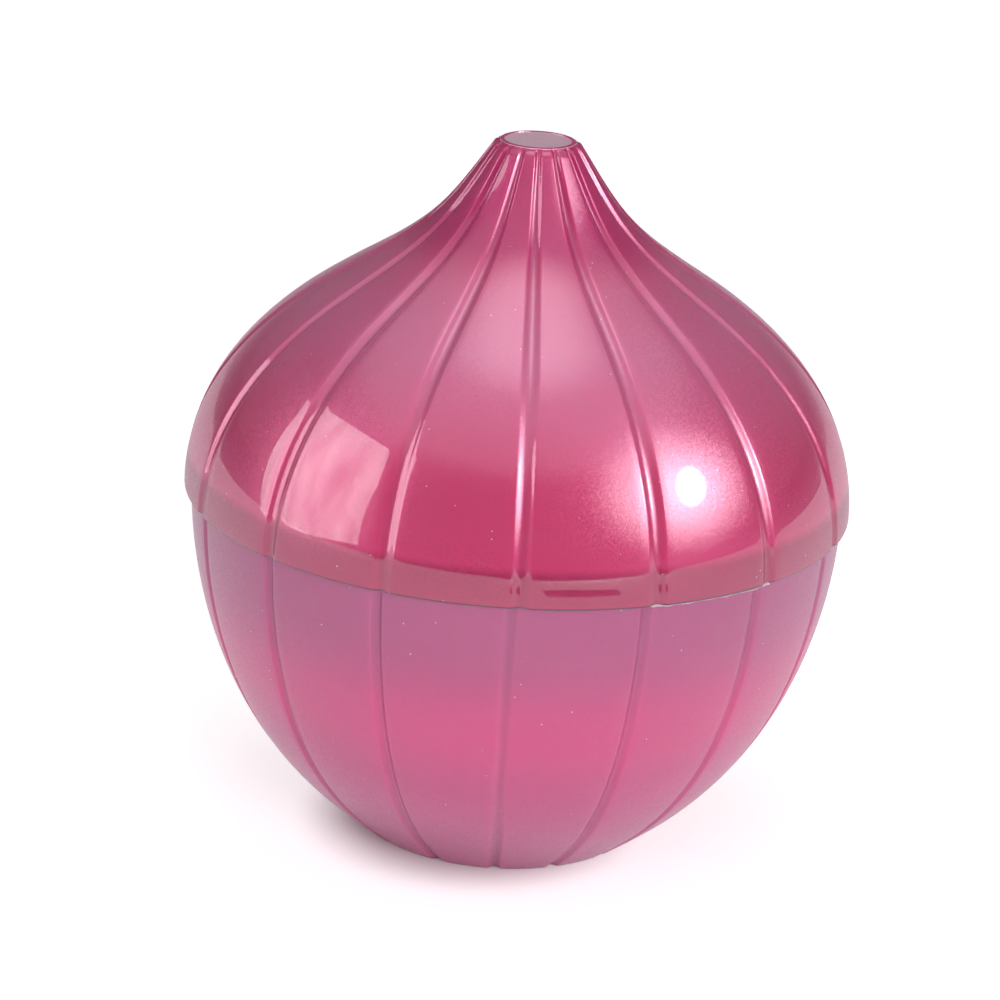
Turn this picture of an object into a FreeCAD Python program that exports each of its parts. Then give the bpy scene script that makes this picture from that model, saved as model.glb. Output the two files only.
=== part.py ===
import FreeCAD, Part
import math
import os

# Onion keeper: a bowl and a lid, both fluted mouldings, closed.
# Millimetres, +Z up, origin at the centre of the bowl's foot.

# Flutes, the same number on both pieces
FLUTE_COUNT = 16
FIRST_FLUTE_AZIMUTH = 1.6
BOWL_TURN = -1.3
FLUTE_FLOOR_SHARE = 0.45

# Bowl, outside: insets from the shoulder's radius, and spread beyond the foot's edge
BOWL_RADIUS = 53.8
BOWL_HEIGHT = 58.0
FOOT_INSET = 29.4
FOOT_SLOPE = 38.0
BELLY_LOW_SPREAD = 9.4
BELLY_LOW_HEIGHT = 8.0
BELLY_MID_INSET = 9.6
BELLY_MID_HEIGHT = 21.4
BELLY_HIGH_INSET = 2.3
BELLY_HIGH_HEIGHT = 39.7
BOWL_FLUTE_WIDTH = 2.4
BOWL_FLUTE_DEPTH = 0.55

# Bowl, inside and rim
BOWL_WALL = 1.9
FLOOR_THICKNESS = 2.2
FLOOR_CORNER_RADIUS = 9.0
RIM_WALL = 1.5
RIM_STAND = 5.5
RIM_LIP_CHAMFER = 0.5

# Fit between the lid's skirt and the bowl's rim
LID_FIT_GAP = 0.3
SEAT_WIDTH = 1.2

# Lid, outside: insets from its lower edge's radius, and heights above that edge
LID_OVERHANG = 1.2
LID_HEIGHT = 59.4
DOME_LOW_INSET = 3.5
DOME_LOW_HEIGHT = 14.8
DOME_HIGH_INSET = 19.5
DOME_HIGH_HEIGHT = 32.6
NECK_RADIUS = 15.3
NECK_HEIGHT = 47.4
TIP_RADIUS = 6.6
TIP_SLOPE = 35.0
TIP_EDGE_RADIUS = 0.9
LID_FLUTE_WIDTH = 3.45
LID_FLUTE_DEPTH = 0.65
FLUTE_FADE = 14.4

# Lid, inside and tip
LID_WALL = 1.8
TIP_WALL = 4.0
TIP_DISC_RADIUS = 5.45
TIP_DISC_RECESS = 0.15

# How far cutters run past the edges they leave, and the sections of the curved walls
RUN_OUT = 3.0
BOWL_STATIONS = 8
LID_STATIONS = 10
INNER_POINTS = 9

# Foot within the shoulder; lid standing out over the bowl, resting on its shoulder, its bore clear of the rim
FOOT_RADIUS = BOWL_RADIUS - FOOT_INSET
LID_RADIUS = BOWL_RADIUS + LID_OVERHANG
SEAM_HEIGHT = BOWL_HEIGHT
SKIRT_BORE_RADIUS = BOWL_RADIUS - SEAT_WIDTH
RIM_RADIUS = SKIRT_BORE_RADIUS - LID_FIT_GAP
RIM_BORE_RADIUS = RIM_RADIUS - RIM_WALL


def vec(radius, height):
    """A point of the half section, in the XZ plane."""
    return FreeCAD.Vector(radius, 0, height)


def spline(points, start_slope, end_slope):
    """Smooth curve through the points; slopes are (radius, height) directions at its ends."""
    curve = Part.BSplineCurve()
    curve.interpolate(
        Points=[vec(r, z) for r, z in points],
        InitialTangent=vec(*start_slope).normalize(),
        FinalTangent=vec(*end_slope).normalize(),
    )
    return curve


def lean(degrees):
    """Direction that leaves the horizontal by this angle, outwards and up."""
    return math.cos(math.radians(degrees)), math.sin(math.radians(degrees))


def bowl_curve():
    """Outside of the bowl, from the foot up to the shoulder."""
    points = [
        (FOOT_RADIUS, 0),
        (FOOT_RADIUS + BELLY_LOW_SPREAD, BELLY_LOW_HEIGHT),
        (BOWL_RADIUS - BELLY_MID_INSET, BELLY_MID_HEIGHT),
        (BOWL_RADIUS - BELLY_HIGH_INSET, BELLY_HIGH_HEIGHT),
        (BOWL_RADIUS, BOWL_HEIGHT),
    ]
    return spline(points, lean(FOOT_SLOPE), (0, 1))


def lid_curve():
    """Outside of the lid, from its lower edge up to the tip."""
    points = [
        (LID_RADIUS, SEAM_HEIGHT),
        (LID_RADIUS - DOME_LOW_INSET, SEAM_HEIGHT + DOME_LOW_HEIGHT),
        (LID_RADIUS - DOME_HIGH_INSET, SEAM_HEIGHT + DOME_HIGH_HEIGHT),
        (NECK_RADIUS, SEAM_HEIGHT + NECK_HEIGHT),
        (TIP_RADIUS, SEAM_HEIGHT + LID_HEIGHT),
    ]
    side, rise = lean(90 - TIP_SLOPE)
    return spline(points, (0, 1), (-side, rise))


def outward(direction):
    """Normal of the half section that points away from the axis for an upward direction."""
    return FreeCAD.Vector(direction.z, 0, -direction.x)


def inset(curve, wall, t):
    """Point of the curve at a parameter, moved inwards by the wall."""
    return curve.value(t) - outward(FreeCAD.Vector(*curve.tangent(t)[0])) * wall


def parameter_at(curve, wall, height):
    """Parameter where the inset curve crosses a height, found by halving."""
    low, high = curve.FirstParameter, curve.LastParameter
    for _ in range(40):
        middle = (low + high) / 2
        if inset(curve, wall, middle).z < height:
            low = middle
        else:
            high = middle
    return low


def inner_curve(curve, wall, low, high):
    """Curve inside another by the wall, between two heights."""
    first = parameter_at(curve, wall, low)
    last = parameter_at(curve, wall, high)
    points = []
    for i in range(INNER_POINTS):
        points.append(inset(curve, wall, first + (last - first) * i / (INNER_POINTS - 1)))
    inside = Part.BSplineCurve()
    inside.interpolate(Points=points)
    return inside


def revolve(edges):
    """Solid of revolution of a closed half section about the Z axis."""
    face = Part.Face(Part.Wire(Part.__sortEdges__(edges)))
    return face.revolve(FreeCAD.Vector(0, 0, 0), FreeCAD.Vector(0, 0, 1), 360)


def line(start, end):
    """Straight edge between two points of the half section."""
    return Part.LineSegment(start, end).toShape()


def ring_edges(solid, radius, height):
    """Circular edges of this radius at this height."""
    found = []
    for edge in solid.Edges:
        box = edge.BoundBox
        flat = box.ZLength < 1e-6 and abs(box.ZMin - height) < 1e-6
        if flat and abs(box.XMax - radius) < 1e-4:
            found.append(edge)
    return found


def polar(radius, degrees, height):
    """Point at a radius and an azimuth, seen from above."""
    angle = math.radians(degrees)
    return FreeCAD.Vector(radius * math.cos(angle), radius * math.sin(angle), height)


def fluted_ring(radius, height, width, depth, first):
    """Horizontal outline: panels as arcs about the axis, with a channel of three sides between each two."""
    pitch = 360 / FLUTE_COUNT
    half = math.degrees(math.asin(width / 2 / radius))
    floor_half = half * FLUTE_FLOOR_SHARE
    edges = []
    for i in range(FLUTE_COUNT):
        middle = first + i * pitch
        channel = [
            polar(radius, middle - half, height),
            polar(radius - depth, middle - floor_half, height),
            polar(radius - depth, middle + floor_half, height),
            polar(radius, middle + half, height),
        ]
        for start, end in zip(channel, channel[1:]):
            edges.append(line(start, end))
        crown = polar(radius, middle + pitch / 2, height)
        following = polar(radius, middle + pitch - half, height)
        edges.append(Part.Arc(channel[-1], crown, following).toShape())
    return Part.Wire(edges)


def fluted_solid(curve, stations, width_at, depth, first):
    """Solid inside the curve turned about the axis, with flutes of an even depth along it."""
    rings = []
    for i in range(stations):
        t = curve.FirstParameter + (curve.LastParameter - curve.FirstParameter) * i / (stations - 1)
        point = curve.value(t)
        normal = outward(FreeCAD.Vector(*curve.tangent(t)[0]))
        rings.append(fluted_ring(point.x, point.z, width_at(point.x), depth / normal.x, first))
    return Part.makeLoft(rings, True)


def make_bowl():
    """Bowl: fluted outside, smooth inside, flat foot, shoulder and upstanding rim."""
    outside = bowl_curve()
    rim_top = BOWL_HEIGHT + RIM_STAND
    first = FIRST_FLUTE_AZIMUTH + BOWL_TURN - 90
    body = fluted_solid(outside, BOWL_STATIONS, lambda radius: BOWL_FLUTE_WIDTH, BOWL_FLUTE_DEPTH, first)
    rim = Part.makeCylinder(RIM_RADIUS, RIM_STAND + BOWL_WALL, vec(0, BOWL_HEIGHT - BOWL_WALL))
    rim = rim.makeChamfer(RIM_LIP_CHAMFER, ring_edges(rim, RIM_RADIUS, rim_top))
    return body.fuse(rim).cut(bowl_hollow(outside, rim_top)).removeSplitter()


def bowl_hollow(outside, rim_top):
    """Space inside the bowl, open upwards."""
    top = rim_top + RUN_OUT
    inside = inner_curve(outside, BOWL_WALL, FLOOR_THICKNESS, BOWL_HEIGHT)
    low = inside.value(inside.FirstParameter)
    high = inside.value(inside.LastParameter)
    space = revolve([
        line(vec(0, low.z), low),
        inside.toShape(),
        line(high, vec(high.x, top)),
        line(vec(high.x, top), vec(0, top)),
        line(vec(0, top), vec(0, low.z)),
    ])
    space = space.makeFillet(FLOOR_CORNER_RADIUS, ring_edges(space, low.x, low.z))
    bore = Part.makeCylinder(RIM_BORE_RADIUS, top, vec(0, 0))
    return space.common(bore)


def make_lid():
    """Lid: fluted outside up to its tip, smooth inside, with a bore round the bowl's rim."""
    outside = lid_curve()
    tip_height = SEAM_HEIGHT + LID_HEIGHT
    first = FIRST_FLUTE_AZIMUTH - 90
    body = fluted_solid(outside, LID_STATIONS, lid_flute_width, LID_FLUTE_DEPTH, first)
    disc = Part.makeCylinder(TIP_DISC_RADIUS, RUN_OUT, vec(0, tip_height - TIP_DISC_RECESS))
    return body.cut([tip_rounding(tip_height), disc, lid_hollow(outside, tip_height)])


def lid_flute_width(radius):
    """Width of a lid's flute, which narrows as the panels do towards the tip."""
    return LID_FLUTE_WIDTH * (1 - math.exp(-radius / FLUTE_FADE))


def tip_rounding(tip_height):
    """Ring that rounds the upper edge of the tip's lobes."""
    inner = vec(TIP_RADIUS - TIP_EDGE_RADIUS, tip_height)
    outer = vec(TIP_RADIUS + TIP_EDGE_RADIUS / 2, tip_height - TIP_EDGE_RADIUS)
    bulge = vec(TIP_RADIUS - TIP_EDGE_RADIUS / 8, tip_height - TIP_EDGE_RADIUS / 3)
    above = vec(inner.x, tip_height + RUN_OUT)
    aside = vec(outer.x + RUN_OUT, above.z)
    below = vec(aside.x, outer.z)
    return revolve([
        Part.Arc(inner, bulge, outer).toShape(),
        line(outer, below),
        line(below, aside),
        line(aside, above),
        line(above, inner),
    ])


def lid_hollow(outside, tip_height):
    """Space inside the lid, with the skirt's straight bore at its mouth."""
    inside = inner_curve(outside, LID_WALL, SEAM_HEIGHT, tip_height - TIP_WALL)
    low = inside.value(inside.FirstParameter)
    high = inside.value(inside.LastParameter)
    bottom = SEAM_HEIGHT - RUN_OUT
    space = revolve([
        line(vec(0, bottom), vec(low.x, bottom)),
        line(vec(low.x, bottom), low),
        inside.toShape(),
        line(high, vec(0, high.z)),
        line(vec(0, high.z), vec(0, bottom)),
    ])
    bore = Part.makeCylinder(SKIRT_BORE_RADIUS, LID_HEIGHT + RUN_OUT, vec(0, bottom))
    return space.common(bore)


def main():
    os.makedirs("parts", exist_ok=True)
    for name, shape in (("bowl", make_bowl()), ("lid", make_lid())):
        print(name, shape.ShapeType, len(shape.Solids), shape.isValid(), round(shape.Volume), shape.BoundBox)
        shape.exportStep("parts/" + name + ".step")


main()
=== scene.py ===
"""Closed onion keeper: a fluted bowl and a domed, fluted lid of glossy translucent plastic."""

from __future__ import annotations

import logging
import math
from dataclasses import dataclass, field
from enum import Enum
from typing import ClassVar

import bmesh
import bpy
import numpy as np
from bpy.types import Material, Object
from bpy.types import NodeSocket as Socket
from mathutils import Matrix, Quaternion, Vector

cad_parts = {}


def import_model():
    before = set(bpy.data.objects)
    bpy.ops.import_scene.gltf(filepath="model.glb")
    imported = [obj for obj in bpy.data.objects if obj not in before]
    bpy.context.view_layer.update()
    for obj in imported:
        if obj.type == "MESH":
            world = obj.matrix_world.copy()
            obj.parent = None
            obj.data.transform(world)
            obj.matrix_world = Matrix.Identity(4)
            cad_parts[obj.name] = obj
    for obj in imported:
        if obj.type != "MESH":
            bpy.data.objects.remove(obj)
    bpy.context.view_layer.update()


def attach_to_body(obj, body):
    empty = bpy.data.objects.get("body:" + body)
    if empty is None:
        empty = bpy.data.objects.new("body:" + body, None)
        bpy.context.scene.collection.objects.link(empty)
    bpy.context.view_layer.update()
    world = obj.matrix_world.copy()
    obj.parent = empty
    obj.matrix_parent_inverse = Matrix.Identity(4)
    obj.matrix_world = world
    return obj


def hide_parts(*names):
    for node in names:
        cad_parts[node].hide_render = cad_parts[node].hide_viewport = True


LOG = logging.getLogger("onion_keeper")
MILLIMETRE = 0.001
NO_NARROWING = 0.001
SHARP_ANGLE = 50.0
FLOAT = "NodeSocketFloat"
VECTOR = "NodeSocketVector"
Pair = tuple[float, float]
Triple = tuple[float, float, float]


class Node(Enum):
    """CAD nodes of the keeper, each with a body of the same name."""

    BOWL = "bowl"
    LID = "lid"


@dataclass(frozen=True)
class Station:
    """A point that an outline runs through.

    Attributes:
        radius: distance from the axis, in millimetres.
        height: height above the outline's base, in millimetres.
    """

    radius: float
    height: float


@dataclass(frozen=True)
class Row:
    """One point of a half section, turned into one ring of the shell.

    Attributes:
        radius: distance from the axis, in millimetres.
        height: height above the foot, in millimetres.
        gain: share of the flute's depth that moves the ring's grooves inwards.
    """

    radius: float
    height: float
    gain: float = 0.0


@dataclass
class Outline:
    """Smooth outline through stations, with a set direction at each end.

    Attributes:
        stations: points of the outline, from its lower end up.
        start: direction at the lower end, as radius and height.
        end: direction at the upper end, as radius and height.
    """

    stations: tuple[Station, ...]
    start: Pair
    end: Pair
    knots: np.ndarray = field(init=False)
    points: np.ndarray = field(init=False)
    slopes: np.ndarray = field(init=False)

    def __post_init__(self) -> None:
        """Solves the clamped cubic spline through the stations, by chord length."""
        self.points = np.array([[s.radius, s.height] for s in self.stations])
        chords = np.linalg.norm(np.diff(self.points, axis=0), axis=1)
        self.knots = np.concatenate([[0.0], np.cumsum(chords)])
        count = len(self.points)
        system = np.zeros((count, count))
        target = np.zeros((count, 2))
        system[0, 0] = system[-1, -1] = 1.0
        target[0] = np.array(self.start) / np.linalg.norm(self.start)
        target[-1] = np.array(self.end) / np.linalg.norm(self.end)
        rates = np.diff(self.points, axis=0) / chords[:, None]
        for i in range(1, count - 1):
            before, after = chords[i - 1], chords[i]
            system[i, i - 1 : i + 2] = [after, 2 * (before + after), before]
            target[i] = 3 * (after * rates[i - 1] + before * rates[i])
        self.slopes = np.linalg.solve(system, target)

    def at(self, share: float) -> tuple[np.ndarray, np.ndarray]:
        """Point and unit direction at a share of the chord length.

        Args:
            share: 0 at the lower end, 1 at the upper end.

        Returns:
            The point and the direction, each as radius and height.
        """
        place = min(max(share, 0.0), 1.0) * self.knots[-1]
        i = int(np.clip(np.searchsorted(self.knots, place) - 1, 0, len(self.knots) - 2))
        span = self.knots[i + 1] - self.knots[i]
        t = (place - self.knots[i]) / span
        p, q = self.points[i], self.points[i + 1]
        m, n = self.slopes[i] * span, self.slopes[i + 1] * span
        point = (
            (2 * t**3 - 3 * t**2 + 1) * p
            + (t**3 - 2 * t**2 + t) * m
            + (3 * t**2 - 2 * t**3) * q
            + (t**3 - t**2) * n
        )
        way = (6 * t**2 - 6 * t) * (p - q) + (3 * t**2 - 4 * t + 1) * m + (3 * t**2 - 2 * t) * n
        return point, way / np.linalg.norm(way)

    def inset(self, share: float, wall: float) -> np.ndarray:
        """Point at a share of the outline, moved inwards by a wall."""
        point, way = self.at(share)
        return point - wall * np.array([way[1], -way[0]])

    def rows(self, low: float, high: float, count: int, base: float) -> list[Row]:
        """Rings of the fluted outside between two shares of the outline.

        Args:
            low: share of the first ring.
            high: share of the last ring.
            count: number of rings.
            base: height of the outline's base above the foot.

        Returns:
            The rings, from low to high.
        """
        found = []
        for share in np.linspace(low, high, count):
            point, way = self.at(share)
            found.append(Row(point[0], point[1] + base, 1.0 / way[1]))
        return found

    def share_at(self, height: float, wall: float = 0.0) -> float:
        """Share of the outline where it, or its inset, crosses a height."""
        low, high = 0.0, 1.0
        for _ in range(40):
            middle = (low + high) / 2
            if self.inset(middle, wall)[1] < height:
                low = middle
            else:
                high = middle
        return low


def arc_rows(
    centre: Station, radius: float, first: float, last: float, count: int, gain: float
) -> list[Row]:
    """Rings along a round edge.

    Args:
        centre: centre of the round, in millimetres.
        radius: radius of the round, in millimetres.
        first: angle of the first ring in degrees, 0 outwards and 90 up.
        last: angle of the last ring in degrees.
        count: number of rings.
        gain: share of the flute's depth on these rings.

    Returns:
        The rings in order.
    """
    rows = []
    for angle in np.radians(np.linspace(first, last, count)):
        out, up = radius * math.cos(angle), radius * math.sin(angle)
        rows.append(Row(centre.radius + out, centre.height + up, gain))
    return rows


class TreeWriter:
    """Short calls that add nodes to a geometry or shader tree and link them."""

    def __init__(self, tree: bpy.types.NodeTree) -> None:
        """Keeps the tree that the calls write to."""
        self.tree = tree

    def add(self, kind: str, **settings: object) -> bpy.types.Node:
        """Adds a node, sets its properties and feeds its inputs.

        Args:
            kind: the node's type name.
            settings: properties, in small letters, and after them inputs, which begin
                with a capital letter and have underscores for spaces.

        Returns:
            The new node.
        """
        node = self.tree.nodes.new(kind)
        for name, value in settings.items():
            if name[0].isupper():
                self.feed(node.inputs[name.replace("_", " ")], value)
            else:
                setattr(node, name, value)
        return node

    def feed(self, socket: Socket, value: object) -> None:
        """Links a socket to another, or sets its value."""
        if isinstance(value, Socket):
            self.tree.links.new(value, socket)
        else:
            socket.default_value = value

    def operate(self, kind: str, operation: str, *values: object) -> bpy.types.Node:
        """Adds a node with an operation, and feeds its inputs in order."""
        node = self.add(kind, operation=operation)
        for socket, value in zip(node.inputs, values):
            self.feed(socket, value)
        return node

    def vector(self, operation: str, *values: object) -> bpy.types.Node:
        """Adds a Vector Math node."""
        return self.operate("ShaderNodeVectorMath", operation, *values)

    def math(self, operation: str, *values: object) -> Socket:
        """Adds a Math node and gives its output."""
        return self.operate("ShaderNodeMath", operation, *values).outputs[0]

    def blend(self, share: object, first: object, second: object) -> Socket:
        """Mixes two colours by a share."""
        node = self.add("ShaderNodeMix", data_type="RGBA")
        for socket, value in ((0, share), (6, first), (7, second)):
            self.feed(node.inputs[socket], value)
        return node.outputs[2]

    def choose(self, test: Socket, when_true: object, when_false: object) -> Socket:
        """Picks one of two numbers by a test that is 0 or 1."""
        node = self.add("ShaderNodeMix", data_type="FLOAT")
        self.feed(node.inputs[0], test)
        self.feed(node.inputs[2], when_false)
        self.feed(node.inputs[3], when_true)
        return node.outputs[0]

    def eased(self, value: Socket, **limits: float) -> Socket:
        """Maps a number smoothly from one range to another.

        Args:
            value: the number.
            limits: limits of the two ranges, From_Min to To_Max.

        Returns:
            The mapped number.
        """
        smooth = {"interpolation_type": "SMOOTHSTEP", "Value": value, **limits}
        return self.add("ShaderNodeMapRange", **smooth).outputs["Result"]

    def sharp_rays(self) -> Socket:
        """1 for rays from the camera, a mirror or glass, and 0 for others."""
        path = self.add("ShaderNodeLightPath")
        seen = self.math("MAXIMUM", path.outputs["Is Camera Ray"], path.outputs["Is Glossy Ray"])
        return self.math("MAXIMUM", seen, path.outputs["Is Transmission Ray"])


def mesh_object(name: str, verts: list[Triple], faces: list[tuple[int, ...]]) -> Object:
    """Adds an object with a mesh of its own to the scene."""
    data = bpy.data.meshes.new(name)
    data.from_pydata(verts, [], faces)
    made = bpy.data.objects.new(name, data)
    bpy.context.collection.objects.link(made)
    return made


class NodeGroup:
    """Node group with named inputs and outputs."""

    NAME = ""
    KIND = ""
    INPUTS: dict[str, tuple[str, object]] = {}
    OUTPUTS: dict[str, str] = {}

    def __init__(self) -> None:
        """Makes the group's sockets and fills it."""
        self.tree = bpy.data.node_groups.new(self.NAME, self.KIND)
        face = self.tree.interface
        for name, (kind, value) in self.INPUTS.items():
            socket = face.new_socket(name, in_out="INPUT", socket_type=kind)
            if value is not None:
                socket.default_value = value
        for name, kind in self.OUTPUTS.items():
            face.new_socket(name, in_out="OUTPUT", socket_type=kind)
        self.write = TreeWriter(self.tree)
        self.source = self.write.add("NodeGroupInput")
        self.result = self.write.add("NodeGroupOutput")
        self.build()

    def given(self, name: str) -> Socket:
        """The group's input of this name."""
        return self.source.outputs[name]

    def give(self, name: str, value: Socket) -> None:
        """Links the group's output of this name."""
        self.write.feed(self.result.inputs[name], value)

    def build(self) -> None:
        """Fills the group."""
        raise NotImplementedError


class FlutedShell(NodeGroup):
    """Geometry Nodes tree that turns a half section about the axis and sinks flutes into it."""

    NAME = "Fluted shell"
    KIND = "GeometryNodeTree"
    INPUTS = {
        "Geometry": ("NodeSocketGeometry", None),
        "Flutes": ("NodeSocketInt", 16),
        "Columns per Flute": ("NodeSocketInt", 24),
        "Groove Columns": ("NodeSocketInt", 12),
        "Groove Width": (FLOAT, 0.0034),
        "Groove Depth": (FLOAT, 0.00065),
        "Narrowing Length": (FLOAT, 0.0),
        "Edge Rounding": (FLOAT, 0.32),
        "Turn": (FLOAT, 0.0),
        "Material": ("NodeSocketMaterial", None),
    }
    OUTPUTS = {"Geometry": "NodeSocketGeometry"}
    WIDEST_GROOVE = 0.33
    SMALLEST_RADIUS = 1e-5
    LARGEST_SINE = 0.9
    WELD_DISTANCE = 1e-6

    def build(self) -> None:
        """Lays out the grid, the rings' places, the flutes and the finish."""
        w = self.write
        source = {"component": "MESH", "Geometry": self.given("Geometry")}
        section = w.add("GeometryNodeAttributeDomainSize", **source)
        rows = section.outputs["Point Count"]
        width = w.math("MULTIPLY", self.given("Flutes"), self.given("Columns per Flute"))
        columns = w.math("ADD", width, 1.0)
        height = w.math("SUBTRACT", rows, 1.0)
        sizes = {"Size_X": width, "Size_Y": height, "Vertices_X": columns, "Vertices_Y": rows}
        grid = w.add("GeometryNodeMeshGrid", **sizes)
        point = w.add("GeometryNodeInputPosition").outputs[0]
        place = w.add("ShaderNodeSeparateXYZ", Vector=point)
        column = w.math("ROUND", w.math("ADD", place.outputs["X"], w.math("DIVIDE", width, 2.0)))
        row = w.math("ROUND", w.math("ADD", place.outputs["Y"], w.math("DIVIDE", height, 2.0)))
        ring = w.add("ShaderNodeSeparateXYZ", Vector=self.sampled("FLOAT_VECTOR", point, row))
        gain_field = w.add("GeometryNodeInputNamedAttribute", data_type="FLOAT", Name="gain")
        gain = self.sampled("FLOAT", gain_field.outputs["Attribute"], row)
        radius = ring.outputs["X"]
        angle, across = self.columns_about(column, radius)
        depth = w.math("MULTIPLY", self.channel(across), self.given("Groove Depth"))
        depth = w.math("MULTIPLY", depth, gain)
        sunk = w.math("SUBTRACT", radius, depth)
        turned = w.math("ADD", angle, self.given("Turn"))
        x, y = (w.math("MULTIPLY", sunk, w.math(wave, turned)) for wave in ("COSINE", "SINE"))
        spot = w.add("ShaderNodeCombineXYZ", X=x, Y=y, Z=ring.outputs["Z"]).outputs[0]
        shape = w.add("GeometryNodeSetPosition", Geometry=grid.outputs["Mesh"], Position=spot)
        weld = {"Geometry": shape.outputs[0], "Distance": self.WELD_DISTANCE}
        shape = w.add("GeometryNodeMergeByDistance", **weld)
        shape = w.add("GeometryNodeSetShadeSmooth", Geometry=shape.outputs[0])
        shape = w.add("GeometryNodeRealizeInstances", Geometry=shape.outputs[0])
        finish = {"Geometry": shape.outputs[0], "Material": self.given("Material")}
        shape = w.add("GeometryNodeSetMaterial", **finish)
        self.give("Geometry", shape.outputs[0])

    def sampled(self, kind: str, value: Socket, row: Socket) -> Socket:
        """Value of the half section's point that belongs to a row.

        Args:
            kind: data type of the value.
            value: field on the half section.
            row: number of the row.

        Returns:
            The sampled value.
        """
        values = {"Geometry": self.given("Geometry"), "Value": value, "Index": row}
        node = self.write.add("GeometryNodeSampleIndex", data_type=kind, domain="POINT", **values)
        return node.outputs["Value"]

    def columns_about(self, column: Socket, radius: Socket) -> tuple[Socket, Socket]:
        """Places each column about the axis, close together in the grooves.

        Args:
            column: number of the column.
            radius: radius of the ring.

        Returns:
            The column's angle, and its place across its groove from -1 to 1, or 1 on a panel.
        """
        w = self.write
        per_flute, in_groove = self.given("Columns per Flute"), self.given("Groove Columns")
        pitch = w.math("DIVIDE", math.tau, self.given("Flutes"))
        flute = w.math("FLOOR", w.math("DIVIDE", w.math("ADD", column, 0.5), per_flute))
        step = w.math("SUBTRACT", column, w.math("MULTIPLY", flute, per_flute))
        safe_radius = w.math("MAXIMUM", radius, self.SMALLEST_RADIUS)
        lengths = w.math("DIVIDE", safe_radius, self.given("Narrowing Length"))
        fade = w.math("EXPONENT", w.math("MULTIPLY", lengths, -1.0))
        mouth = w.math("MULTIPLY", self.given("Groove Width"), w.math("SUBTRACT", 1.0, fade))
        sine = w.math("DIVIDE", mouth, w.math("MULTIPLY", safe_radius, 2.0))
        half = w.math("ARCSINE", w.math("MINIMUM", sine, self.LARGEST_SINE))
        half = w.math("MINIMUM", half, w.math("MULTIPLY", pitch, self.WIDEST_GROOVE))
        inside = w.math("LESS_THAN", step, w.math("ADD", in_groove, 0.5))
        across = w.math("SUBTRACT", w.math("MULTIPLY", w.math("DIVIDE", step, in_groove), 2.0), 1.0)
        past, rest = (w.math("SUBTRACT", number, in_groove) for number in (step, per_flute))
        left = w.math("DIVIDE", past, rest)
        panel = w.math("SUBTRACT", pitch, w.math("MULTIPLY", half, 2.0))
        on_panel = w.math("ADD", half, w.math("MULTIPLY", left, panel))
        local = w.choose(inside, w.math("MULTIPLY", across, half), on_panel)
        angle = w.math("ADD", w.math("MULTIPLY", flute, pitch), local)
        return angle, w.choose(inside, across, 1.0)

    def channel(self, across: Socket) -> Socket:
        """Depth of a round channel with rounded lips, from 0 at a lip to 1 in the middle."""
        w = self.write
        away = w.math("ABSOLUTE", across)
        bend = w.math("SUBTRACT", 1.0, self.given("Edge Rounding"))
        bottom = w.math("SUBTRACT", 1.0, w.math("DIVIDE", w.math("POWER", away, 2.0), bend))
        rest = w.math("SUBTRACT", 1.0, away)
        lip = w.math("DIVIDE", w.math("POWER", rest, 2.0), self.given("Edge Rounding"))
        return w.choose(w.math("LESS_THAN", away, bend), bottom, lip)


@dataclass(frozen=True)
class FluteCut:
    """Sizes of a shell's flutes, in millimetres and degrees.

    Attributes:
        count: number of flutes round the axis.
        width: width of a groove where the shell is widest.
        depth: depth of a groove at right angles to the wall.
        narrowing: radius over which the grooves narrow towards the axis, or 0 for none.
        azimuth: place of the front groove, from the viewer's side towards the right.
    """

    count: int
    width: float
    depth: float
    narrowing: float
    azimuth: float


def turned_shell(
    name: str, rows: list[Row], cut: FluteCut, tree: FlutedShell, material: Material
) -> Object:
    """Makes a closed fluted shell from a half section.

    Args:
        name: name of the new object.
        rows: half section, from one point on the axis to the other.
        cut: sizes of the flutes.
        tree: geometry tree that turns and flutes it.
        material: finish of the shell.

    Returns:
        The finished object, a plain mesh.
    """
    points = [(r.radius * MILLIMETRE, 0.0, r.height * MILLIMETRE) for r in rows]
    carrier = mesh_object(name + "_section", points, [])
    gain = carrier.data.attributes.new("gain", "FLOAT", "POINT")
    gain.data.foreach_set("value", [r.gain for r in rows])
    modifier = carrier.modifiers.new("flutes", "NODES")
    modifier.node_group = tree.tree
    values = {
        "Flutes": cut.count,
        "Groove Width": cut.width * MILLIMETRE,
        "Groove Depth": cut.depth * MILLIMETRE,
        "Narrowing Length": max(cut.narrowing, NO_NARROWING) * MILLIMETRE,
        "Turn": math.radians(cut.azimuth - 90.0),
        "Material": material,
    }
    for item in tree.tree.interface.items_tree:
        if item.in_out == "INPUT" and item.name in values:
            modifier[item.identifier] = values[item.name]
    bpy.context.view_layer.update()
    evaluated = carrier.evaluated_get(bpy.context.evaluated_depsgraph_get())
    mesh = bpy.data.meshes.new_from_object(evaluated)
    mesh.name = name
    shell = bpy.data.objects.new(name, mesh)
    bpy.context.collection.objects.link(shell)
    bpy.data.objects.remove(carrier)
    mesh.set_sharp_from_angle(angle=math.radians(SHARP_ANGLE))
    return shell


def attach(piece: Object, node: Node) -> None:
    """Lets a piece move with a body and stand for its CAD node, which it hides."""
    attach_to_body(piece, node.value)
    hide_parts(node.value)


class Moulding:
    """A fluted moulding of the keeper, dressed in place of its CAD node."""

    NODE: Node
    cut: FluteCut

    def section(self) -> list[Row]:
        """Half section, from one point on the axis to the other."""
        raise NotImplementedError

    def build(self, tree: FlutedShell, material: Material) -> Object:
        """Makes the shell, which moves with its body and stands for its CAD node."""
        name = self.NODE.value + "_shell"
        shell = turned_shell(name, self.section(), self.cut, tree, material)
        attach(shell, self.NODE)
        return shell


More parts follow.
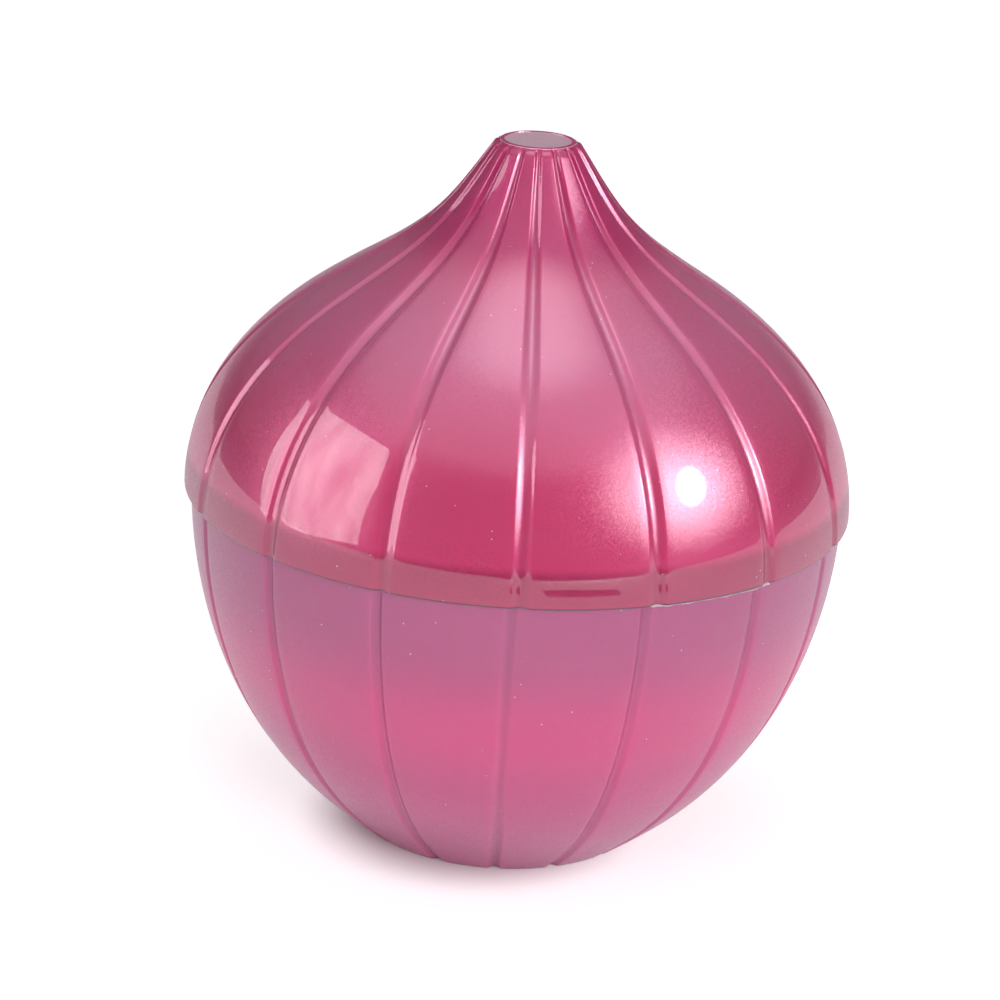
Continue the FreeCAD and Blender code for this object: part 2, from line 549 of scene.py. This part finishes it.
@dataclass
class Bowl(Moulding):
    """Fluted bowl with a flat foot, a shoulder for the lid and an upstanding rim. Millimetres."""

    NODE: ClassVar[Node] = Node.BOWL
    foot_radius: float = 24.4
    foot_slope: float = 38.0
    foot_flat: float = 2.0
    foot_edge: float = 0.12
    foot_start: float = 0.002
    height: float = 58.0
    radius: float = 53.8
    seat_width: float = 1.2
    seat_middle: float = 0.75
    fit_gap: float = 0.3
    rim_stand: float = 5.5
    rim_wall: float = 1.5
    rim_round: float = 0.4
    edge_round: float = 0.2
    wall: float = 1.9
    floor: float = 2.2
    floor_round: float = 4.0
    floor_middle: float = 8.0
    outer_rings: int = 74
    inner_rings: int = 46
    cut: FluteCut = FluteCut(16, 2.4, 0.55, 0.0, 0.3)

    def outline(self) -> Outline:
        """Outside of the bowl, from the foot up to the shoulder."""
        slope = math.radians(self.foot_slope)
        stations = (
            Station(self.foot_radius, 0.0),
            Station(33.8, 8.0),
            Station(44.2, 21.4),
            Station(51.5, 39.7),
            Station(self.radius, self.height),
        )
        return Outline(stations, (math.cos(slope), math.sin(slope)), (0.0, 1.0))

    def section(self) -> list[Row]:
        """Half section, from the middle of the foot, up outside, over the rim and down inside."""
        outline = self.outline()
        rim = self.radius - self.seat_width - self.fit_gap
        bore = rim - self.rim_wall
        top = self.height + self.rim_stand
        steepness = 1.0 / math.sin(math.radians(self.foot_slope))
        rows = [Row(0.0, 0.0), Row(self.foot_radius * 0.5, 0.0)]
        rows.append(Row(self.foot_radius - self.foot_flat, 0.0))
        rows.append(Row(self.foot_radius - self.foot_edge, 0.0, steepness))
        last = outline.share_at(self.height - self.edge_round)
        rows += outline.rows(self.foot_start, last, self.outer_rings, 0.0)
        edge = Station(self.radius - self.edge_round, self.height - self.edge_round)
        rows += arc_rows(edge, self.edge_round, 20, 90, 4, 1.0)
        rows += [Row(self.radius - self.seat_middle, self.height), Row(rim, self.height)]
        rows += [Row(rim, self.height + self.rim_stand * t) for t in (0.05, 0.5, 0.85)]
        crown = top - self.rim_round
        rows += arc_rows(Station(rim - self.rim_round, crown), self.rim_round, 0, 90, 5, 0.0)
        rows += arc_rows(Station(bore + self.rim_round, crown), self.rim_round, 90, 180, 5, 0.0)
        low = outline.share_at(self.floor, self.wall)
        for share in np.linspace(1.0, low, self.inner_rings):
            point = outline.inset(share, self.wall)
            rows.append(Row(min(point[0], bore), point[1]))
        flat = rows[-1].radius - self.floor_round
        rows += [Row(radius, self.floor) for radius in (flat, self.floor_middle, 0.0)]
        return rows


@dataclass
class Lid(Moulding):
    """Domed, fluted lid with a narrow neck and a flat tip disc. Millimetres."""

    NODE: ClassVar[Node] = Node.LID
    seam: float = 58.0
    height: float = 59.4
    radius: float = 55.0
    bore: float = 52.6
    bore_edge: float = 0.2
    seat_middle: float = 0.95
    inner_start: float = 0.02
    tip_radius: float = 6.6
    tip_slope: float = 35.0
    tip_round: float = 0.9
    tip_gain: float = 1.25
    tip_blend: float = 0.72
    disc_radius: float = 5.45
    disc_recess: float = 0.15
    disc_edge: Pair = (0.05, 0.03)
    edge_round: float = 0.25
    wall: float = 1.8
    tip_wall: float = 4.0
    outer_rings: int = 86
    inner_rings: int = 56
    cut: FluteCut = FluteCut(16, 3.45, 0.52, 14.4, 1.6)

    def outline(self) -> Outline:
        """Outside of the lid, from its lower edge up to the tip."""
        slope = math.radians(90.0 - self.tip_slope)
        stations = (
            Station(self.radius, 0.0),
            Station(51.5, 14.8),
            Station(35.5, 32.6),
            Station(15.3, 47.4),
            Station(self.tip_radius, self.height),
        )
        return Outline(stations, (0.0, 1.0), (-math.cos(slope), math.sin(slope)))

    def section(self) -> list[Row]:
        """Half section, from the tip disc down outside, round the lower edge and up inside."""
        outline = self.outline()
        top = self.seam + self.height
        floor = top - self.disc_recess
        width, drop = self.disc_edge
        rows = [Row(0.0, floor), Row(self.disc_radius * 0.6, floor)]
        rows += [Row(self.disc_radius - width, floor), Row(self.disc_radius, top - drop)]
        centre = Station(self.tip_radius - self.tip_round, top - self.tip_round)
        for row in arc_rows(centre, self.tip_round, 90, 25, 9, 1.0):
            share = outline.share_at(row.height - self.seam)
            cone = outline.at(share)[0][0]
            lobe = min(row.radius, cone)
            gain = max(0.0, self.tip_gain - (cone - lobe) / self.cut.depth)
            rows.append(Row(lobe, row.height, gain))
        high = outline.share_at(self.height - self.tip_round * self.tip_blend)
        low = outline.share_at(self.edge_round)
        rows += list(reversed(outline.rows(low, high, self.outer_rings, self.seam)))
        edge = Station(self.radius - self.edge_round, self.seam + self.edge_round)
        rows += arc_rows(edge, self.edge_round, -20, -90, 4, 1.0)
        rows.append(Row(self.radius - self.seat_middle, self.seam))
        rows.append(Row(self.bore + self.bore_edge, self.seam))
        rows.append(Row(self.bore, self.seam + self.bore_edge))
        inner_top = self.height - self.tip_wall
        last = outline.share_at(inner_top, self.wall)
        for share in np.linspace(self.inner_start, last, self.inner_rings):
            point = outline.inset(share, self.wall)
            rows.append(Row(min(point[0], self.bore), point[1] + self.seam))
        rows.append(Row(0.0, self.seam + inner_top))
        return rows


@dataclass
class SeamFlash:
    """Thin, uneven moulding flash left on the lid's lower edge, to the right of the front.

    Attributes:
        seam: height of the lid's lower edge, in millimetres.
        radius: radius that the flash stands out from, in millimetres.
        start: angle of its left end in degrees, from the front to the right.
        end: angle of its right end, in degrees.
        stations: number of its cross sections.
        reach: least and most that it stands out, in millimetres.
        sharpness: how few of its points stand out far, where 1 is evenly spread.
        blur: number of neighbours that its width is evened over.
        spare: number of draws past the last cross section, for the evening.
        steady: share of its width that no single point takes away.
        root: how far it goes into the lid, in millimetres.
        thickness: its height at the root, below and above the seam, in millimetres.
        edge: height of its edge over the seam where it is narrow, in millimetres.
        droop: how much lower its edge is where it is widest, in millimetres.
        seed: seed of its width.
    """

    seam: float = 58.0
    radius: float = 54.9
    start: float = 23.0
    end: float = 47.0
    stations: int = 90
    reach: Pair = (0.05, 0.60)
    sharpness: float = 1.8
    blur: int = 5
    spare: int = 8
    steady: float = 0.6
    root: float = 0.5
    thickness: Pair = (-0.04, 0.26)
    edge: float = 0.04
    droop: float = 0.1
    seed: int = 5

    def build(self, material: Material) -> Object:
        """Makes the flash, a closed strip of three sides whose width wanders."""
        draw = np.random.default_rng(self.seed)
        evening = np.ones(self.blur) / self.blur
        width = draw.random(self.stations + self.spare)
        wander = np.convolve(width, evening, mode="valid")[: self.stations]
        share = (wander - wander.min()) / (wander.max() - wander.min())
        share *= self.steady + (1.0 - self.steady) * draw.random(self.stations)
        share[0] = share[-1] = 0.0
        verts, faces = [], []
        for i, part in enumerate(share):
            angle = math.radians(self.start + (self.end - self.start) * i / (self.stations - 1))
            out = self.reach[0] + (self.reach[1] - self.reach[0]) * part**self.sharpness
            below, above = self.thickness
            edge = self.edge - self.droop * part
            for aside, height in ((-self.root, above), (-self.root, below), (out, edge)):
                radius = self.radius + aside
                x, y = radius * math.sin(angle), -radius * math.cos(angle)
                verts.append(Vector((x, y, self.seam + height)) * MILLIMETRE)
        for i in range(self.stations - 1):
            k = 3 * i
            for j in range(3):
                m = (j + 1) % 3
                faces.append((k + j, k + m, k + 3 + m, k + 3 + j))
        last = 3 * (self.stations - 1)
        faces += [(0, 2, 1), (last, last + 1, last + 2)]
        flash = mesh_object("seam_flash", verts, faces)
        shape = bmesh.new()
        shape.from_mesh(flash.data)
        bmesh.ops.recalc_face_normals(shape, faces=shape.faces)
        shape.to_mesh(flash.data)
        shape.free()
        flash.data.materials.append(material)
        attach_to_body(flash, Node.LID.value)
        return flash


class EffectGroup(NodeGroup):
    """Shader node group of one surface effect."""

    KIND = "ShaderNodeTree"

    def place(self, write: TreeWriter, **values: object) -> bpy.types.Node:
        """Adds the group to a material.

        Args:
            write: writer of the material's tree.
            values: the group's inputs, with underscores for spaces.

        Returns:
            The group's node.
        """
        return write.add("ShaderNodeGroup", node_tree=self.tree, **values)


class PearlFlow(EffectGroup):
    """Slow drift of the pearl pigment in the moulding, with fine mica grains in it."""

    NAME = "Pearl flow"
    INPUTS = {
        "Vector": (VECTOR, None),
        "Deep": ("NodeSocketColor", (0.6, 0.04, 0.12, 1.0)),
        "Pale": ("NodeSocketColor", (0.7, 0.09, 0.2, 1.0)),
        "Drift Scale": (FLOAT, 26.0),
        "Grain Scale": (FLOAT, 6500.0),
        "Roughness": (FLOAT, 0.3),
    }
    OUTPUTS = {
        "Color": "NodeSocketColor",
        "Roughness": FLOAT,
        "Lean": VECTOR,
    }
    DRIFT_STRETCH = (0.4, 0.4, 2.2)
    DRIFT_DETAIL = 4.0
    LEAST_ROUGHNESS = 0.95
    ROUGHNESS_SPREAD = 0.1

    def build(self) -> None:
        """Drifts the colour by a stretched noise, and leans the normal by fine cells."""
        w, vector = self.write, self.given("Vector")
        place = w.add("ShaderNodeMapping", Vector=vector, Scale=self.DRIFT_STRETCH).outputs[0]
        sizes = {"Scale": self.given("Drift Scale"), "Detail": self.DRIFT_DETAIL}
        drift = w.add("ShaderNodeTexNoise", Vector=place, **sizes)
        grain = w.add("ShaderNodeTexVoronoi", Vector=vector, Scale=self.given("Grain Scale"))
        share = drift.outputs["Fac"]
        self.give("Color", w.blend(share, self.given("Deep"), self.given("Pale")))
        part = w.math("ADD", self.LEAST_ROUGHNESS, w.math("MULTIPLY", share, self.ROUGHNESS_SPREAD))
        rough = w.math("MULTIPLY", self.given("Roughness"), part)
        self.give("Roughness", rough)
        lean = w.vector("SUBTRACT", grain.outputs["Color"], (0.5, 0.5, 0.5))
        self.give("Lean", lean.outputs[0])


class HeightBand(EffectGroup):
    """Soft mask between two heights on a moulding, where light or shade is painted."""

    NAME = "Height band"
    INPUTS = {
        "Vector": (VECTOR, None),
        "Low": (FLOAT, 0.0),
        "High": (FLOAT, 0.1),
        "Softness": (FLOAT, 0.004),
        "Wander": (FLOAT, 0.0),
    }
    OUTPUTS = {"Mask": FLOAT}
    STREAK_SCALE = (11.0, 11.0, 110.0)

    def build(self) -> None:
        """Fades in at the low height and out at the high one."""
        w, vector = self.write, self.given("Vector")
        stretched = w.add("ShaderNodeMapping", Vector=vector, Scale=self.STREAK_SCALE).outputs[0]
        streak = w.add("ShaderNodeTexNoise", Vector=stretched, Scale=1.0, Detail=1.0)
        swing = w.math("SUBTRACT", streak.outputs["Fac"], 0.5)
        offset = w.math("MULTIPLY", swing, self.given("Wander"))
        height = w.add("ShaderNodeSeparateXYZ", Vector=vector).outputs["Z"]
        height = w.math("ADD", height, offset)
        past = w.math("SUBTRACT", height, self.given("Low"))
        left = w.math("SUBTRACT", self.given("High"), height)
        inside = [
            w.eased(w.math("DIVIDE", part, self.given("Softness")), From_Min=-0.5, From_Max=0.5)
            for part in (past, left)
        ]
        self.give("Mask", w.math("MULTIPLY", *inside))


class DustSpecks(EffectGroup):
    """Sparse pale specks of dust on a surface."""

    NAME = "Dust specks"
    INPUTS = {
        "Vector": (VECTOR, None),
        "Spacing Scale": (FLOAT, 350.0),
        "Speck Radius": (FLOAT, 0.034),
    }
    OUTPUTS = {"Mask": FLOAT}

    def build(self) -> None:
        """Keeps the middle of each scattered cell."""
        w = self.write
        sizes = {"Vector": self.given("Vector"), "Scale": self.given("Spacing Scale")}
        cells = w.add("ShaderNodeTexVoronoi", **sizes)
        near = w.math("LESS_THAN", cells.outputs["Distance"], self.given("Speck Radius"))
        self.give("Mask", near)


@dataclass(frozen=True)
class PaintedBand:
    """A stretch of the moulding with a tone that paints light or shade onto it.

    Attributes:
        low: lower height, in metres.
        high: upper height, in metres.
        softness: length over which it fades, in metres.
        wander: height by which its edges run up and down in streaks, in metres.
        colour: the colour painted there.
        strength: share of the colour, from 0 to 1.
    """

    low: float
    high: float
    softness: float
    wander: float
    colour: Triple
    strength: float


@dataclass(frozen=True)
class Effects:
    """Effect groups that the finishes share."""

    flow: PearlFlow
    dust: DustSpecks
    band: HeightBand


@dataclass(frozen=True)
class PlumPlastic:
    """Glossy translucent plum plastic with a fine pearl pigment, and painted light and shade
    between set heights.
    """

    name: str
    deep: Triple
    pale: Triple
    painted_bands: tuple[PaintedBand, ...]
    metallic: float = 0.145
    roughness: float = 0.3
    refraction: float = 1.55
    gloss_tint: Triple = (0.76, 0.80, 1.0)
    subsurface: float = 1.0
    reach: float = 0.004
    tint_reach: Triple = (1.0, 0.3, 0.5)
    coat_roughness: float = 0.03
    coat: float = 1.0
    coat_refraction: float = 1.6
    coat_tint: Triple = (0.92, 0.84, 0.92)
    sheen: float = 0.12
    sheen_roughness: float = 0.4
    sheen_tint: Triple = (0.72, 0.72, 0.95)
    rim_start: float = 0.40
    rim_end: float = 0.90
    grain_lean: float = 0.17
    dust: Triple = (0.85, 0.75, 0.8)

    def material(self, effects: Effects) -> Material:
        """Builds the material.

        Args:
            effects: shared effect groups.

        Returns:
            The material.
        """
        made = bpy.data.materials.new(self.name)
        made.use_nodes = True
        shader = made.node_tree.nodes["Principled BSDF"]
        write = TreeWriter(made.node_tree)
        place = write.add("ShaderNodeTexCoord").outputs["Object"]
        flow = effects.flow.place(
            write,
            Vector=place,
            Deep=(*self.deep, 1.0),
            Pale=(*self.pale, 1.0),
            Roughness=self.roughness,
        )
        colour = flow.outputs["Color"]
        # Painted light and shade: each stretch lightens or darkens the plastic between two heights.
        for band in self.painted_bands:
            mask = effects.band.place(
                write,
                Vector=place,
                Low=band.low,
                High=band.high,
                Softness=band.softness,
                Wander=band.wander,
            )
            share = write.math("MULTIPLY", mask.outputs["Mask"], band.strength)
            colour = write.blend(share, colour, (*band.colour, 1.0))
        specks = effects.dust.place(write, Vector=place)
        colour = write.blend(specks.outputs["Mask"], colour, (*self.dust, 1.0))
        write.feed(shader.inputs["Base Color"], colour)
        write.feed(shader.inputs["Roughness"], flow.outputs["Roughness"])
        normal = write.add("ShaderNodeNewGeometry").outputs["Normal"]
        lean = (self.grain_lean,) * 3
        leaning = write.vector("MULTIPLY_ADD", flow.outputs["Lean"], lean, normal)
        straight = write.vector("NORMALIZE", leaning.outputs[0])
        write.feed(shader.inputs["Normal"], straight.outputs[0])
        facing = write.add("ShaderNodeLayerWeight").outputs["Facing"]
        limits = {"From_Min": self.rim_start, "From_Max": self.rim_end, "To_Min": self.coat}
        write.feed(shader.inputs["Coat Weight"], write.eased(facing, To_Max=0.0, **limits))
        constants = {
            "Metallic": self.metallic,
            "IOR": self.refraction,
            "Specular Tint": (*self.gloss_tint, 1.0),
            "Subsurface Weight": self.subsurface,
            "Subsurface Scale": self.reach,
            "Subsurface Radius": self.tint_reach,
            "Coat Roughness": self.coat_roughness,
            "Coat IOR": self.coat_refraction,
            "Coat Tint": (*self.coat_tint, 1.0),
            "Sheen Weight": self.sheen,
            "Sheen Roughness": self.sheen_roughness,
            "Sheen Tint": (*self.sheen_tint, 1.0),
        }
        for name, value in constants.items():
            shader.inputs[name].default_value = value
        return made


LID_PLASTIC = PlumPlastic(
    name="lid_plum_plastic",
    deep=(0.65, 0.044, 0.150),
    pale=(0.79, 0.096, 0.250),
    painted_bands=(
        # Painted light: paler pink high on the dome, for light shining through the lid there.
        PaintedBand(0.0830, 0.1000, 0.020, 0.003, (0.74, 0.165, 0.320), 1.0),
        # Painted shade: darker neck and tip.
        PaintedBand(0.1010, 0.2, 0.006, 0.0, (0.54, 0.010, 0.150), 0.8),
        # Painted shade: darker strip just above the seam, where the bowl's rim inside keeps light
        # from coming through the lid.
        PaintedBand(0.0570, 0.0638, 0.002, 0.0008, (0.40, 0.010, 0.085), 0.8),
        # Tip disc: a paler tone of its own, lifted further as a painted highlight of the light from
        # above.
        PaintedBand(0.11722, 0.11729, 0.00003, 0.0, (1.0, 0.60, 0.70), 1.0),
        # Painted shadow: dark line in the seam, along the lid's lower edge.
        PaintedBand(0.0570, 0.0583, 0.0002, 0.0, (0.06, 0.004, 0.014), 0.95),
    ),
)
BOWL_PLASTIC = PlumPlastic(
    name="bowl_plum_plastic",
    deep=(0.56, 0.075, 0.225),
    pale=(0.71, 0.130, 0.318),
    painted_bands=(
        # Painted shade: darker mauve on the bowl's upper part, below the seam.
        PaintedBand(0.0435, 0.0800, 0.022, 0.005, (0.45, 0.132, 0.260), 0.65),
        # Painted light: brighter red glow round the middle of the bowl, for light shining through
        # the shell.
        PaintedBand(0.0270, 0.0410, 0.018, 0.005, (0.80, 0.084, 0.245), 0.5),
        # Painted shade: darker towards the foot.
        PaintedBand(-0.0500, 0.0140, 0.020, 0.004, (0.46, 0.100, 0.235), 0.6),
    ),
    metallic=0.12,
    refraction=1.4,
    coat=0.75,
    coat_refraction=1.5,
    sheen=0.0,
    rim_start=0.3,
)
FLASH_PLASTIC = PlumPlastic(
    name="flash_plum_plastic",
    deep=(0.96, 0.76, 0.82),
    pale=(1.0, 0.86, 0.90),
    painted_bands=(),
    metallic=0.0,
    subsurface=0.2,
)


@dataclass(frozen=True)
class Softbox:
    """A soft studio lamp seen in the plastic as a bright patch.

    Attributes:
        name: the lamp's name.
        azimuth: direction from the keeper in degrees, 0 to the viewer and + to the right.
        elevation: direction above the table in degrees.
        distance: distance from the keeper, in metres.
        size: width and height of the lamp, in metres.
        radiance: brightness of its face, where 1 is white.
        tilt: turn of the lamp about its own direction, in degrees.
        round: whether the lamp is round.
        mirrored: whether gloss mirrors the lamp.
        lit: whether the lamp lights matt surfaces.
        fade: share of its half width over which it fades out.
        mottle: how uneven its face is, where 0 is even.
    """

    name: str
    azimuth: float
    elevation: float
    distance: float
    size: Pair
    radiance: float
    tilt: float = 0.0
    round: bool = False
    mirrored: bool = True
    lit: bool = True
    fade: float = 0.0
    mottle: float = 0.0
    MOTTLE_TURN: ClassVar[Triple] = (0.0, 0.0, 0.7)
    MOTTLE_SCALE: ClassVar[Triple] = (6.0, 2.0, 1.0)

    def shape_face(self, data: bpy.types.AreaLight) -> None:
        """Fades the lamp's face out towards its edge, and makes it uneven."""
        data.use_nodes = True
        write = TreeWriter(data.node_tree)
        place = write.add("ShaderNodeNewGeometry").outputs["Parametric"]
        strength = 1.0
        if self.fade > 0.0:
            offset = write.vector("DISTANCE", place, (0.5, 0.5, 0.0))
            inner = 0.5 * (1.0 - self.fade)
            strength = write.eased(offset.outputs["Value"], From_Min=0.5, From_Max=inner)
        if self.mottle > 0.0:
            turn = {"Rotation": self.MOTTLE_TURN, "Scale": self.MOTTLE_SCALE}
            turned = write.add("ShaderNodeMapping", Vector=place, **turn).outputs[0]
            cloud = write.add("ShaderNodeTexNoise", Vector=turned, Scale=1.0)
            swing = write.math("SUBTRACT", cloud.outputs["Fac"], 0.5)
            swing = write.math("MULTIPLY", swing, 2.0 * self.mottle)
            strength = write.math("MULTIPLY", strength, write.math("ADD", swing, 1.0))
        write.feed(data.node_tree.nodes["Emission"].inputs["Strength"], strength)

    def build(self, aim: Vector) -> Object:
        """Adds the lamp, turned to a point."""
        data = bpy.data.lights.new(self.name, "AREA")
        data.shape = "ELLIPSE" if self.round else "RECTANGLE"
        data.size, data.size_y = self.size
        area = self.size[0] * self.size[1] * (math.pi / 4 if self.round else 1.0)
        data.energy = self.radiance * area * math.pi
        lamp = bpy.data.objects.new(self.name, data)
        lamp.visible_glossy = self.mirrored
        lamp.visible_diffuse = self.lit
        if self.fade > 0.0 or self.mottle > 0.0:
            self.shape_face(data)
        bpy.context.collection.objects.link(lamp)
        azimuth, rise = math.radians(self.azimuth), math.radians(self.elevation)
        level = Vector((math.sin(azimuth), -math.cos(azimuth), 0.0))
        way = level * math.cos(rise) + Vector((0.0, 0.0, math.sin(rise)))
        lamp.location = aim + way * self.distance
        spin = Quaternion(way, math.radians(self.tilt))
        lamp.rotation_euler = (spin @ way.to_track_quat("Z", "Y")).to_euler()
        return lamp


@dataclass
class Studio:
    """White table, white surroundings, soft lamps and the camera of the photograph."""

    seam: float = 0.058
    elevation: float = 19.40
    distance: float = 0.559
    focal_pixels: float = 3367.0
    roll: float = 3.53
    seam_pixel: Pair = (516.9, 488.4)
    frame_pixels: float = 1000.0
    table_radius: float = 2.5
    table_tone: float = 0.86
    table_lift: float = 0.62
    far_lift: float = 0.3
    far_reach: Pair = (0.5, 1.6)
    # Painted contact shadow round the foot: its centre, and the radii over which the white lift
    # fades back in.
    shadow_centre: Pair = (-0.005, -0.006)
    shadow_radius: Pair = (0.0155, 0.031)
    wall_radius: float = 1.7
    wall_height: float = 2.3
    wall_steps: int = 48
    wall_back_rise: float = 1.4
    skirting_height: float = 0.34
    wall_tone: float = 0.17
    wall_glow: Triple = (1.6, 2.35, 0.75)
    skirting_tone: float = 0.05
    shade_lift: float = 0.0004
    sky: float = 0.65
    softboxes: tuple[Softbox, ...] = (
        Softbox(
            "right_round_box", 68.5, 30.0, 1.0, (0.21, 0.32), 17.0, -30.0, True, lit=False, fade=0.3
        ),
        Softbox(
            "right_glow_box", 62.0, 30.0, 1.05, (1.30, 1.20), 8.5, round=True, lit=False, fade=1.0
        ),
        Softbox(
            "left_window_box", -75.0, 20.0, 1.0, (0.80, 0.85), 3.2, 10.0, lit=False, mottle=1.1
        ),
        Softbox("left_fill_box", -42.0, 14.0, 1.0, (0.80, 0.85), 1.35, mirrored=False),
        Softbox("front_fill_box", 28.0, 16.0, 1.0, (0.50, 0.40), 8.6, mirrored=False),
        Softbox("top_box", 175.0, 83.0, 1.0, (0.80, 0.80), 1.6, round=True, fade=0.7),
    )

    def camera(self) -> Object:
        """Adds the camera, set from the seam's ellipse in the photograph."""
        rise, roll = math.radians(self.elevation), math.radians(self.roll)
        back = Vector((0.0, -math.cos(rise), math.sin(rise)))
        right = Vector((1.0, 0.0, 0.0))
        up = Vector((0.0, math.sin(rise), math.cos(rise)))
        across = right * math.cos(roll) + up * math.sin(roll)
        upright = up * math.cos(roll) - right * math.sin(roll)
        middle = self.frame_pixels / 2
        aside = self.seam_pixel[0] - middle
        down = self.seam_pixel[1] - middle
        view = -back * self.focal_pixels - across * aside + upright * down
        view.normalize()
        side = view.cross(upright).normalized()
        over = side.cross(view).normalized()
        data = bpy.data.cameras.new("photo_camera")
        data.sensor_width = 36.0
        data.lens = self.focal_pixels * data.sensor_width / self.frame_pixels
        camera = bpy.data.objects.new("photo_camera", data)
        bpy.context.collection.objects.link(camera)
        turn = Matrix((side, over, -view)).transposed().to_4x4()
        place = Vector((0, 0, self.seam)) + back * self.distance
        camera.matrix_world = Matrix.Translation(place) @ turn
        bpy.context.scene.camera = camera
        return camera

    def table(self) -> Object:
        """Adds the white table top."""
        r = self.table_radius
        corners = [(-r, -r, 0), (r, -r, 0), (r, r, 0), (-r, r, 0)]
        table = mesh_object("table_top", corners, [(0, 1, 2, 3)])
        table.data.materials.append(self.table_finish())
        return table

    def table_finish(self) -> Material:
        """White paper that the camera sees as the white of the surroundings, with a painted contact
        shadow round the foot.
        """
        made = self.paint("white_table", self.table_lift)
        write = TreeWriter(made.node_tree)
        nodes = made.node_tree.nodes
        glow, output = nodes["Emission"], nodes["Material Output"]
        paper = write.add("ShaderNodeBsdfDiffuse", Color=(*(self.table_tone,) * 3, 1.0))
        place = write.add("ShaderNodeNewGeometry").outputs["Position"]
        apart = write.vector("DISTANCE", place, (*self.shadow_centre, 0.0))
        # Painted contact shadow: the white lift is left off near the foot, so the paper there shows
        # darker.
        near, far = [
            write.eased(apart.outputs["Value"], From_Min=start, From_Max=end, To_Max=lift)
            for (start, end), lift in (
                (self.shadow_radius, self.table_lift),
                (self.far_reach, self.far_lift),
            )
        ]
        lift = write.math("MULTIPLY", write.sharp_rays(), write.math("ADD", near, far))
        write.feed(glow.inputs["Strength"], lift)
        both = write.add("ShaderNodeAddShader")
        write.feed(both.inputs[0], paper.outputs[0])
        write.feed(both.inputs[1], glow.outputs[0])
        write.feed(output.inputs["Surface"], both.outputs[0])
        return made

    def room(self) -> Object:
        """Adds the grey wall round the open studio. The gloss mirrors it; the camera skips it."""
        steps = self.wall_steps
        verts, faces = [], []
        for i in range(steps):
            angle = math.tau * i / steps
            x, y = self.wall_radius * math.sin(angle), -self.wall_radius * math.cos(angle)
            top = self.wall_height + self.wall_back_rise * max(0.0, -math.cos(angle)) ** 2
            verts += [(x, y, 0.0), (x, y, self.skirting_height), (x, y, top)]
            k, n = 3 * i, 3 * ((i + 1) % steps)
            faces += [(k, k + 1, n + 1, n), (k + 1, k + 2, n + 2, n + 1)]
        wall = mesh_object("studio_wall", verts, faces)
        wall.visible_camera = False
        wall.data.materials.append(self.paint("skirting_paint", self.skirting_tone))
        wall.data.materials.append(self.glowing_wall())
        for face in wall.data.polygons:
            face.material_index = face.index % 2
        return wall

    def glowing_wall(self) -> Material:
        """Grey wall with painted light: its glow rises towards the open top of the studio."""
        made = self.paint("wall_paint", self.wall_tone)
        write = TreeWriter(made.node_tree)
        place = write.add("ShaderNodeNewGeometry").outputs["Position"]
        height = write.add("ShaderNodeSeparateXYZ", Vector=place).outputs["Z"]
        low, high, strength = self.wall_glow
        limits = {"From_Min": low, "From_Max": high, "To_Min": self.wall_tone, "To_Max": strength}
        tone = write.eased(height, **limits)
        write.feed(made.node_tree.nodes["Emission"].inputs["Strength"], tone)
        return made

    def front_shade(self) -> Object:
        """Adds the dark floor before the table. The gloss mirrors it; the camera skips it."""
        far, lift = self.wall_radius, self.shade_lift
        edge = [(far, -0.95), (0.15, -0.92), (0.00, -0.98), (-0.12, -1.15), (-far, -1.30)]
        smudge = [(0.060, -0.310), (0.175, -0.265), (0.225, -0.350)]
        smudge += [(0.140, -0.420), (0.070, -0.425)]
        verts = [(x, y, lift) for x, y in edge + [(-far, -far), (far, -far)] + smudge]
        shade = mesh_object("front_shade", verts, [tuple(range(7)), tuple(range(7, 12))])
        shade.visible_camera = shade.visible_diffuse = shade.visible_shadow = False
        shade.data.materials.append(self.paint("shade_paint", self.skirting_tone))
        return shade

    @staticmethod
    def paint(name: str, tone: float) -> Material:
        """Paint that glows evenly at a tone instead of being lit, and takes no shadow."""
        made = bpy.data.materials.new(name)
        made.use_nodes = True
        made.cycles.emission_sampling = "NONE"
        write = TreeWriter(made.node_tree)
        made.node_tree.nodes.clear()
        glow = write.add("ShaderNodeEmission", name="Emission", Strength=tone)
        write.add("ShaderNodeOutputMaterial", Surface=glow.outputs[0])
        return made

    def world(self) -> None:
        """Soft even light from above, white where it is seen, mirrored or seen through."""
        world = bpy.data.worlds.new("white_room")
        bpy.context.scene.world = world
        world.use_nodes = True
        write = TreeWriter(world.node_tree)
        world.node_tree.nodes.clear()
        strength = write.choose(write.sharp_rays(), 1.0, self.sky)
        back = write.add("ShaderNodeBackground", Strength=strength)
        write.add("ShaderNodeOutputWorld", Surface=back.outputs[0])

    def build(self) -> None:
        """Sets up the table, the surroundings, the lamps and the camera."""
        self.table()
        self.room()
        self.front_shade()
        self.world()
        for softbox in self.softboxes:
            softbox.build(Vector((0.0, 0.0, self.seam)))
        self.camera()
        bpy.context.scene.view_settings.view_transform = "Standard"


def main() -> None:
    """Builds the keeper and its studio."""
    logging.basicConfig(level=logging.INFO, format="%(name)s: %(message)s")
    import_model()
    effects = Effects(PearlFlow(), DustSpecks(), HeightBand())
    tree = FlutedShell()
    for maker, plastic in ((Bowl(), BOWL_PLASTIC), (Lid(), LID_PLASTIC)):
        shell = maker.build(tree, plastic.material(effects))
        LOG.info("%s has %d faces", shell.name, len(shell.data.polygons))
    flash = SeamFlash().build(FLASH_PLASTIC.material(effects))
    LOG.info("%s has %d faces", flash.name, len(flash.data.polygons))
    Studio().build()


if __name__ == "__main__":
    main()
